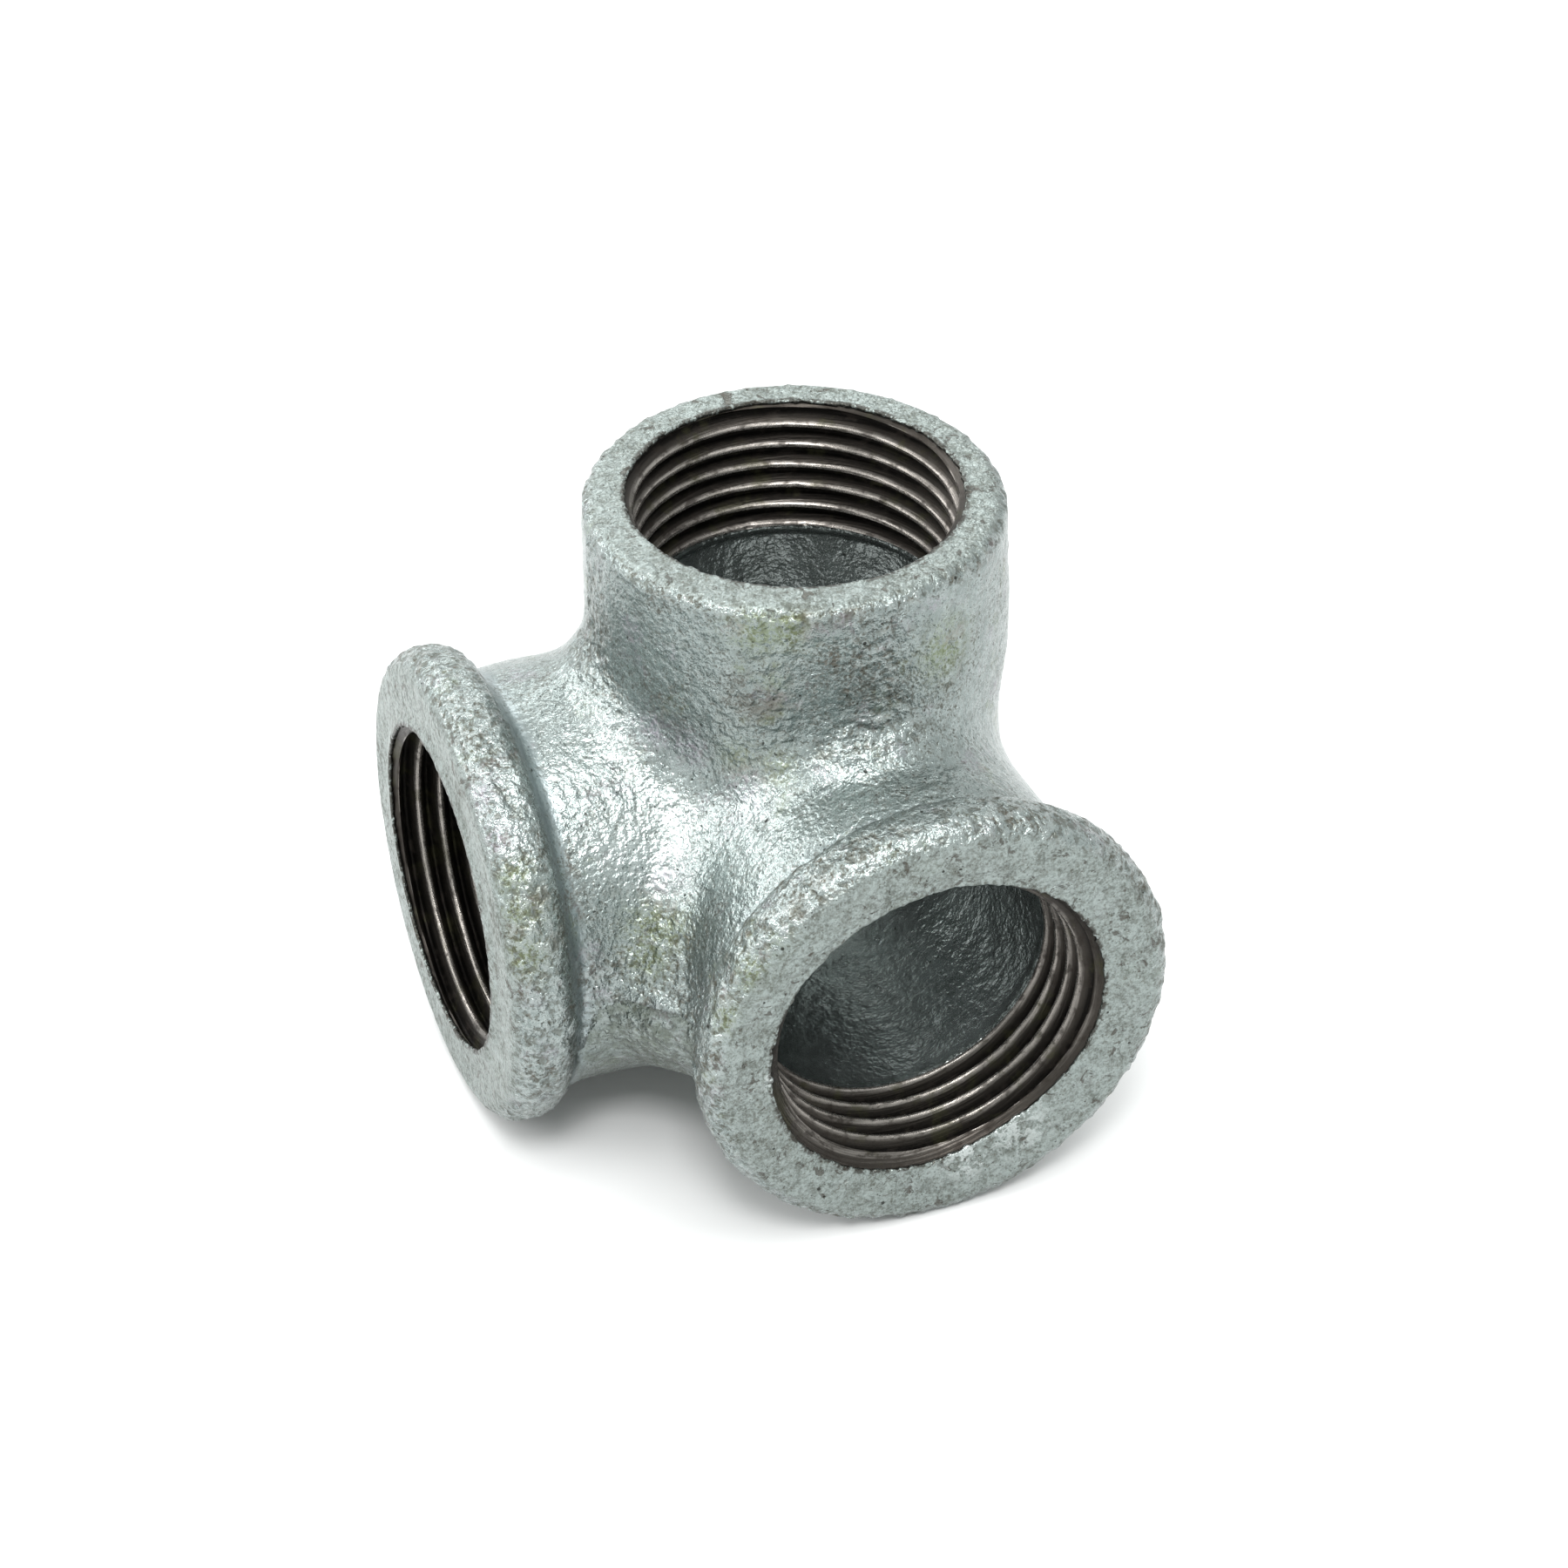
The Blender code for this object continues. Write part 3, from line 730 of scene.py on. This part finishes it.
def make_thread(name, number):
    """One helical thread band, closed behind by a plain cylinder."""
    port = PORTS[name]
    low = PORT_REACH - THREAD_DEPTH[name] + FLOOR_GAP
    high = PORT_REACH - LIP - LIP_GAP
    step = THREAD_PITCH / THREAD_LEVELS
    around = THREAD_AROUND
    turn = np.arange(around) / around
    levels = math.floor(THREAD_DEPTH[name] / step) + THREAD_LEVELS + 4
    angle = turn * 2 * math.pi
    out = port["out"]
    spokes = np.cos(angle)[:, None] * port["across_1"] + np.sin(angle)[:, None] * port["across_2"]
    mouth_ring_r = mouth_radius(name, turn) + CONE_EDGE
    rings, tall = [], []
    for level in range(levels):
        base = PORT_REACH - (levels - 2 - level) * step
        along = np.clip(base + turn * THREAD_PITCH, low, high)
        phase = (PORT_REACH - along) / THREAD_PITCH + turn + THREAD_START[name]
        ridge = thread_height(phase)
        radius = THREAD_MAJOR_R - (THREAD_MAJOR_R - THREAD_MINOR_R) * ridge
        radius += THREAD_TAPER * smooth(low, high, along)
        deep = high - along
        cone = mouth_ring_r - CONE_SLOPE[name] * deep
        cut = smooth(radius - 0.05 * mm, radius + 0.05 * mm, cone)
        radius = np.maximum(radius, cone)
        place = along[:, None] * out + radius[:, None] * spokes
        wear = 0.030 * mm * noise(place, 3.5 * mm, 500 + number)
        chip = 0.10 * mm * smooth(0.50, 0.85, noise(place, 1.6 * mm, 520 + number)) * ridge
        inner = (along > low + 0.02 * mm) & (along < high - 0.02 * mm)
        radius = radius + (wear + chip) * inner
        rings.append(along[:, None] * out + radius[:, None] * spokes)
        tall.append(np.maximum(ridge * (1 - cut), (0.60 + 0.22 * smooth(0, 1.2 * mm, deep)) * cut))
    points = np.concatenate(rings)
    index = np.arange(levels * around).reshape(levels, around)
    quads = []
    for level in range(levels - 1):
        below, above = index[level], index[level + 1]
        right_below, right_above = np.roll(below, -1), np.roll(above, -1)
        right_below[-1] = index[min(level + THREAD_LEVELS, levels - 1)][0]
        right_above[-1] = index[min(level + 1 + THREAD_LEVELS, levels - 1)][0]
        quads.append(np.column_stack((below, above, right_above, right_below)))
    start = len(points)
    extra = [along * out + np.broadcast_to(radius, (around,))[:, None] * spokes
             for along, radius in ((high, mouth_ring_r), (high, BAND_OUTER_R), (low, BAND_OUTER_R))]
    mouth_ring, outer_high, outer_low = (np.arange(start + k * around, start + (k + 1) * around)
                                         for k in range(3))
    points = np.concatenate([points] + extra)
    quads.append(ring_quads(mouth_ring, index[-1]))
    quads.append(ring_quads(outer_high, mouth_ring))
    quads.append(ring_quads(outer_low, outer_high))
    quads.append(ring_quads(index[0], outer_low))
    quads = np.concatenate(quads)
    tall = np.concatenate(tall + [np.full(3 * around, 0.5)])
    thread = welded(name + "_cut_thread", points + CROSSING, quads, tall)
    along, _, turn = place_in_port(of_vertices(thread.data, "co") - CROSSING, port)
    set_attribute(thread.data, "deep", along / mm)
    set_attribute(thread.data, "turned_x", np.cos(turn * 2 * math.pi))
    set_attribute(thread.data, "turned_y", np.sin(turn * 2 * math.pi))
    return thread


def welded(name, points, quads, tall):
    """A mesh with points in one place made one."""
    bm = bmesh.new()
    layer = bm.verts.layers.float.new("ridge")
    verts = []
    for p, t in zip(points, tall):
        v = bm.verts.new(p)
        v[layer] = t
        verts.append(v)
    for quad in quads.tolist():
        corners = list(dict.fromkeys(quad))
        if len(corners) > 2:
            bm.faces.new([verts[v] for v in corners])
    bmesh.ops.remove_doubles(bm, verts=bm.verts, dist=2e-6)
    mesh = bpy.data.meshes.new(name)
    bm.to_mesh(mesh)
    bm.free()
    mesh.shade_smooth()
    mesh.set_sharp_from_angle(angle=math.radians(60))
    return link(mesh)


# ---- node materials

class Nodes:
    """Short names for building one material's nodes."""

    def __init__(self, name):
        self.material = bpy.data.materials.new(name)
        self.material.use_nodes = True
        self.tree = self.material.node_tree
        self.shader = self.tree.nodes["Principled BSDF"]
        place = self.add("ShaderNodeTexCoord", {}).outputs["Object"]
        scaled = self.add("ShaderNodeVectorMath", {0: place, "Scale": 1 / mm}, operation="SCALE")
        self.mm = scaled.outputs["Vector"]

    def add(self, kind, inputs, **settings):
        """A node with its settings made, and each input wired or given a plain value."""
        node = self.tree.nodes.new(kind)
        for key, value in settings.items():
            setattr(node, key, value)
        for key, value in inputs.items():
            self.wire(value, node.inputs[key])
        return node

    def wire(self, source, target):
        if hasattr(source, "is_output"):
            self.tree.links.new(source, target)
        else:
            target.default_value = source

    def moved(self, offset):
        """The place on the object in millimetres, moved by offset."""
        if offset is None:
            return self.mm
        return self.add("ShaderNodeVectorMath", {0: self.mm, 1: offset}, operation="ADD").outputs["Vector"]

    def noise(self, size_mm, detail=3.0, rough=0.55, warp=0.0, offset=None):
        inputs = {"Vector": self.moved(offset), "Scale": 1 / size_mm, "Detail": detail,
                  "Roughness": rough, "Distortion": warp}
        return self.add("ShaderNodeTexNoise", inputs).outputs["Fac"]

    def cells(self, size_mm, offset):
        """Distance to the nearest scattered point."""
        inputs = {"Vector": self.moved(offset), "Scale": 1 / size_mm}
        return self.add("ShaderNodeTexVoronoi", inputs, feature="F1").outputs["Distance"]

    def mask(self, name):
        return self.add("ShaderNodeAttribute", {}, attribute_name=name).outputs["Fac"]

    def math(self, operation, a, b):
        return self.add("ShaderNodeMath", {0: a, 1: b}, operation=operation).outputs[0]

    def times(self, a, b):
        return self.math("MULTIPLY", a, b)

    def plus(self, a, b):
        return self.math("ADD", a, b)

    def swayed(self, value, by, amount):
        """The value with noise added, which goes both ways by half the amount."""
        return self.plus(value, self.times(self.plus(by, -0.5), amount))

    def ramp(self, value, low, high, to_low=0.0, to_high=1.0):
        inputs = {"Value": value, "From Min": low, "From Max": high, "To Min": to_low, "To Max": to_high}
        return self.add("ShaderNodeMapRange", inputs, interpolation_type="SMOOTHSTEP").outputs["Result"]

    def mix(self, share, a, b):
        a, b = ((*value, 1) if isinstance(value, tuple) else value for value in (a, b))
        return self.add("ShaderNodeMix", {0: share, 6: a, 7: b}, data_type="RGBA").outputs[2]

    def bump(self, height, distance):
        inputs = {"Strength": 1.0, "Distance": distance, "Height": height}
        return self.add("ShaderNodeBump", inputs).outputs["Normal"]

    def set(self, **values):
        """Set the surface's own inputs."""
        for key, value in values.items():
            self.wire(value, self.shader.inputs[key.replace("_", " ")])


def zinc_material():
    n = Nodes("galvanised_zinc")
    inside, face, crest, groove, lip = (n.mask(m) for m in ("inside", "face", "crest", "groove", "lip"))
    broad = n.noise(8.0, 3, 0.55)
    mottle = n.noise(2.4, 5, 0.65, 0.3)
    grain = n.noise(0.55, 6, 0.75, offset=(31, 7, 3))
    speckle = n.noise(0.24, 4, 0.7, offset=(5, 17, 11))
    pale, grey, dark = (0.340, 0.388, 0.380), (0.235, 0.273, 0.266), (0.085, 0.085, 0.072)
    brown, olive, pink = (0.105, 0.085, 0.062), (0.170, 0.205, 0.095), (0.40, 0.35, 0.42)
    colour = n.mix(n.ramp(n.plus(n.times(mottle, 0.55), n.times(grain, 0.45)), 0.42, 0.58), grey, pale)
    spots = n.swayed(grain, broad, 0.40)
    spots = n.swayed(spots, mottle, 0.40)
    spots = n.swayed(spots, speckle, 0.45)
    spots = n.plus(spots, n.times(crest, 0.03))
    colour = n.mix(n.times(n.ramp(spots, 0.52, 0.68), 0.75), colour, dark)
    fine = n.times(n.ramp(n.swayed(speckle, mottle, 0.35), 0.56, 0.67), 0.75)
    colour = n.mix(fine, colour, dark)
    browning = n.times(n.ramp(n.noise(0.9, 6, 0.7, 0.6, (9, 2, 40)), 0.52, 0.64),
                       n.ramp(n.plus(broad, n.times(crest, 0.18)), 0.54, 0.70))
    browning = n.math("MAXIMUM", browning, n.times(n.mask("brown"), n.ramp(mottle, 0.40, 0.55)))
    colour = n.mix(n.times(browning, 0.7), colour, brown)
    olives = n.times(n.ramp(n.noise(5.0, 4, 0.6, 0.2, (60, 8, 4)), 0.58, 0.72), 0.6)
    olives = n.times(n.math("MAXIMUM", olives, n.mask("olive")), n.ramp(grain, 0.38, 0.58))
    colour = n.mix(n.times(olives, 0.8), colour, olive)
    pinks = n.times(n.ramp(n.noise(4.0, 3, 0.5, 0.2, (2, 80, 14)), 0.56, 0.70), 0.6)
    pinks = n.times(n.math("MAXIMUM", pinks, n.mask("pink")), n.ramp(grain, 0.42, 0.58))
    colour = n.mix(n.times(pinks, 0.55), colour, pink)
    # painted highlight: the corner's patches are mixed towards a lighter zinc, less where spots are
    painted_glow = n.times(n.mask("bright"), n.ramp(spots, 0.62, 0.46, 0.25, 0.75))
    colour = n.mix(painted_glow, colour, (0.44, 0.49, 0.48))
    waves = n.times(n.noise(0.95, 2, 0.45, 0.3, (7, 7, 1)), 0.55)
    ripples = n.times(n.noise(0.42, 2, 0.5, 0.2, (3, 9, 4)), 0.36)
    relief = n.plus(waves, ripples)
    # painted shade with a brown tint like tarnish: the hollows of the bump relief are darkened
    tarnish_and_hollow_shade = n.ramp(n.swayed(relief, grain, -0.35), 0.450, 0.370)
    # painted highlight: on the crests the tops of the bump relief are mixed towards a lighter zinc
    colour = n.mix(n.times(crest, n.ramp(relief, 0.45, 0.52, 0.0, 0.55)), colour, (0.38, 0.42, 0.41))
    # painted shade in the relief's hollows, brown-tinted, strongest on the crests
    colour = n.mix(n.times(tarnish_and_hollow_shade, n.plus(0.22, n.times(crest, 0.34))), colour, (0.074, 0.071, 0.052))
    # painted light: the grooves by the beads are lifted towards a lighter blue-grey, less where spots are,
    # against the shade that falls in them
    colour = n.mix(n.times(groove, n.ramp(spots, 0.60, 0.48, 0.15, 0.6)), colour, (0.30, 0.35, 0.365))
    pit_size = n.ramp(n.noise(3.0, 2, 0.5, 0, (4, 4, 90)), 0.45, 0.75, 0.07, 0.22)
    pits = n.math("LESS_THAN", n.cells(1.15, offset=(3, 1, 8)), pit_size)
    pits = n.times(pits, n.math("GREATER_THAN", n.noise(1.4, 2, 0.5, 0, (70, 3, 2)), 0.57))
    pricks = n.times(n.math("LESS_THAN", n.cells(0.55, offset=(13, 5, 2)), 0.16),
                     n.math("GREATER_THAN", n.noise(0.9, 2, 0.5, 0, (7, 33, 12)), 0.55))
    filed = n.plus(n.times(mottle, 0.35), n.plus(n.times(grain, 0.35), n.times(speckle, 0.30)))
    face_tone = n.mix(n.ramp(filed, 0.42, 0.60), (0.325, 0.370, 0.357), (0.155, 0.176, 0.161))
    face_tone = n.mix(n.times(n.ramp(n.noise(0.50, 5, 0.75, 0.3, (21, 9, 6)), 0.54, 0.65), 0.72),
                      face_tone, (0.086, 0.082, 0.062))
    # painted shade in the relief's hollows on the faces, brown-tinted
    face_tone = n.mix(n.times(tarnish_and_hollow_shade, 0.22), face_tone, (0.080, 0.077, 0.058))
    chips = n.times(n.ramp(n.noise(1.7, 4, 0.65, 0.8, (8, 61, 3)), 0.60, 0.65), 0.85)
    face_tone = n.mix(chips, face_tone, (0.060, 0.050, 0.038))
    colour = n.mix(n.times(face, 0.85), colour, face_tone)
    # lighter bare zinc where chipped, and partly a painted highlight on the tops of the relief
    colour = n.mix(n.times(n.mask("chipped"), n.ramp(relief, 0.42, 0.50)), colour, (0.50, 0.54, 0.53))
    holes = n.math("MAXIMUM", pits, n.times(pricks, 0.8))
    colour = n.mix(n.times(holes, 0.85), colour, (0.016, 0.015, 0.012))
    # painted shade: the recessed wall below the parting ledge is darkened, in streaks
    streaked = n.ramp(n.noise(1.2, 4, 0.65, 0.5, (44, 3, 19)), 0.40, 0.60, 0.25, 0.75)
    scooped = n.times(n.mask("recess_shade"), streaked)
    colour = n.mix(scooped, colour, (0.130, 0.150, 0.128))
    # painted shadow: a dark line under the ledge's lip
    colour = n.mix(n.times(n.mask("ledge_shadow"), 0.9), colour, (0.040, 0.040, 0.034))
    torn = n.times(n.ramp(lip, 0.35, 0.85), n.ramp(n.noise(0.8, 4, 0.6, 0.3, (5, 5, 71)), 0.42, 0.52))
    colour = n.mix(n.times(torn, 0.85), colour, (0.035, 0.030, 0.024))
    chamber = n.mix(n.ramp(mottle, 0.35, 0.65), (0.185, 0.206, 0.200), (0.245, 0.272, 0.266))
    # painted shade: the chamber is darker towards its bottom
    chamber = n.mix(n.times(n.mask("chamber_floor_shade"), 0.6), chamber, (0.120, 0.132, 0.122))
    chamber = n.mix(n.times(pits, 0.8), chamber, (0.02, 0.02, 0.016))
    colour = n.mix(inside, colour, chamber)
    n.set(Base_Color=colour, Metallic=0.88)
    rough = n.ramp(spots, 0.42, 0.68, 0.21, 0.42)
    rough = n.swayed(rough, speckle, 0.12)
    for part, amount in ((crest, n.ramp(relief, 0.42, 0.50, 0.10, -0.08)), (face, 0.10),
                         (n.mask("chipped"), -0.14), (groove, 0.12), (n.plus(browning, olives), 0.12)):
        rough = n.plus(rough, n.times(part, amount))
    rough = n.plus(n.times(rough, n.plus(1.0, n.times(inside, -1.0))), n.times(inside, 0.21))
    n.set(Roughness=n.math("MAXIMUM", rough, 0.14))
    small = n.plus(relief, n.times(speckle, 0.05))
    small = n.plus(small, n.times(n.math("MAXIMUM", pits, chips), -0.2))
    strength = n.plus(n.plus(1.0, n.times(groove, -0.6)), n.times(inside, -0.25))
    strength = n.plus(strength, n.plus(n.times(crest, 0.40), n.times(face, 0.30)))
    n.set(Normal=n.bump(n.times(small, strength), 0.42 * mm))
    return n.material


def iron_material():
    n = Nodes("bare_cut_iron")
    ridge, deep, turned_x, turned_y = (n.mask(m) for m in ("ridge", "deep", "turned_x", "turned_y"))

    def turned(size_mm, length, detail, seed):
        """Noise drawn out along the cut, size_mm wide, length times as long as the bore's radius."""
        across = {"X": n.times(deep, 1 / size_mm), "Y": n.times(turned_x, 1 / length),
                  "Z": n.times(turned_y, 1 / length)}
        vector = n.add("ShaderNodeCombineXYZ", across).outputs["Vector"]
        inputs = {"Vector": vector, "W": seed, "Scale": 1.0, "Detail": detail, "Roughness": 0.6}
        return n.add("ShaderNodeTexNoise", inputs, noise_dimensions="4D").outputs["Fac"]

    lines = turned(0.16, 0.5, 3, 2.0)
    streaks = turned(0.45, 0.10, 4, 7.0)
    mottle = n.noise(0.9, 6, 0.7, 0.4)
    grain = n.noise(0.30, 5, 0.7, offset=(31, 7, 3))
    patches = n.noise(3.5, 4, 0.6, 0.2, (60, 8, 4))
    # painted shade and highlight: near black in the thread's root where shade falls, the iron's dark tone
    # on the flanks, and a light crest that is partly worn metal and partly a painted highlight
    root, flank, worn_and_highlit = (0.008, 0.007, 0.006), (0.042, 0.037, 0.032), (0.35, 0.325, 0.30)
    level = n.swayed(ridge, lines, 0.60)
    level = n.swayed(level, mottle, 0.12)
    colour = n.mix(n.ramp(level, 0.10, 0.70), root, flank)
    colour = n.mix(n.ramp(level, 0.66, 1.10), colour, worn_and_highlit)
    dirt = n.times(n.ramp(n.swayed(streaks, mottle, 0.5), 0.50, 0.66), 0.75)
    colour = n.mix(dirt, colour, (0.030, 0.025, 0.021))
    colour = n.mix(n.times(n.ramp(patches, 0.54, 0.68), 0.5), colour, (0.050, 0.050, 0.024))
    n.set(Base_Color=colour, Metallic=0.9)
    rough = n.plus(n.ramp(ridge, 0.1, 1.0, 0.50, 0.27), n.times(n.plus(grain, -0.5), 0.25))
    n.set(Roughness=n.plus(rough, n.times(dirt, 0.15)))
    height = n.plus(n.times(lines, 1.0), n.times(mottle, 0.5))
    n.set(Normal=n.bump(n.plus(height, n.times(grain, 0.25)), 0.07 * mm))
    return n.material


def floor_material():
    n = Nodes("white_floor")
    tone = n.ramp(n.noise(60, 2), 0.3, 0.7)
    n.set(Base_Color=n.mix(tone, (0.69, 0.69, 0.69), (0.73, 0.73, 0.73)), Roughness=0.75)
    n.shader.inputs["Specular IOR Level"].default_value = 0.1
    return n.material


# ---- stage, light, camera

FLOOR_HALF, FLOOR_STEPS = 1.6, 24       # half the sheet's width, and quads along an edge
LIGHT_AIM = (0, 0, 0.03)
LIGHTS = (                              # place, width and depth, watts
    ("softbox_above", (0.02, -0.30, 0.90), (0.70, 0.50), 4.3),
    ("key", (-0.24, -0.56, 0.94), (0.26, 0.26), 5.2),
    ("softbox_left", (-0.93, 0.12, 0.60), (0.60, 0.50), 4.6),
    ("softbox_back_left", (-0.50, 0.85, 0.58), (0.80, 0.50), 5.2),
    ("softbox_back", (0.28, 0.90, 0.66), (0.50, 0.40), 2.4))
ROOM_COLOUR, ROOM_STRENGTH = (0.97, 1.0, 0.99, 1), 1.04
CAMERA_PLACE = (-0.11777, -0.30847, 0.28290)
CAMERA_AXES = (                         # right, up and back
    (0.93128, -0.36429, 0.00077), (0.21903, 0.56160, 0.79789), (-0.29110, -0.74290, 0.60280))
CAMERA_LENS, CAMERA_SENSOR = 96.0, 36


def make_floor():
    """A pale flat sheet, wide enough for every view."""
    ticks = [-FLOOR_HALF + 2 * FLOOR_HALF * i / FLOOR_STEPS for i in range(FLOOR_STEPS + 1)]
    bm = bmesh.new()
    grid = [[bm.verts.new((x, y, 0)) for y in ticks] for x in ticks]
    for i in range(FLOOR_STEPS):
        for j in range(FLOOR_STEPS):
            bm.faces.new((grid[i][j], grid[i + 1][j], grid[i + 1][j + 1], grid[i][j + 1]))
    mesh = bpy.data.meshes.new("floor_sheet")
    bm.to_mesh(mesh)
    bm.free()
    mesh.materials.append(floor_material())
    obj = link(mesh)


def make_lights():
    """Soft boxes above and behind, one smaller light in front, and an even bright room."""
    for name, place, size, watts in LIGHTS:
        data = bpy.data.lights.new(name, "AREA")
        data.shape = "RECTANGLE"
        data.size, data.size_y = size
        data.energy = watts
        obj = link(data)
        obj.location = place
        obj.rotation_euler = (Vector(LIGHT_AIM) - Vector(place)).to_track_quat("-Z", "Y").to_euler()
    world = bpy.data.worlds.new("studio")
    world.use_nodes = True
    background = world.node_tree.nodes["Background"]
    background.inputs["Color"].default_value = ROOM_COLOUR
    background.inputs["Strength"].default_value = ROOM_STRENGTH
    bpy.context.scene.world = world


def make_camera():
    """The camera, which looks down at the corner from between the left and front ports."""
    data = bpy.data.cameras.new("camera")
    data.sensor_width, data.lens = CAMERA_SENSOR, CAMERA_LENS
    data.clip_start, data.clip_end = 0.01, 20
    obj = link(data)
    turn = Matrix(CAMERA_AXES).transposed().to_4x4()
    obj.matrix_world = Matrix.Translation(CAMERA_PLACE) @ turn
    bpy.context.scene.camera = obj


# ---- the scene

zinc = zinc_material()
iron = iron_material()
casting = make_casting()
casting.data.materials.append(zinc)
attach(casting, "root")
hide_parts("casting")
for number, name in enumerate(PORTS):
    thread = make_thread(name, number)
    thread.data.materials.append(iron)
    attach(thread, "root")
    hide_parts(name + "_thread")

make_floor()
make_lights()
make_camera()
bpy.context.scene.view_settings.view_transform = "Standard"
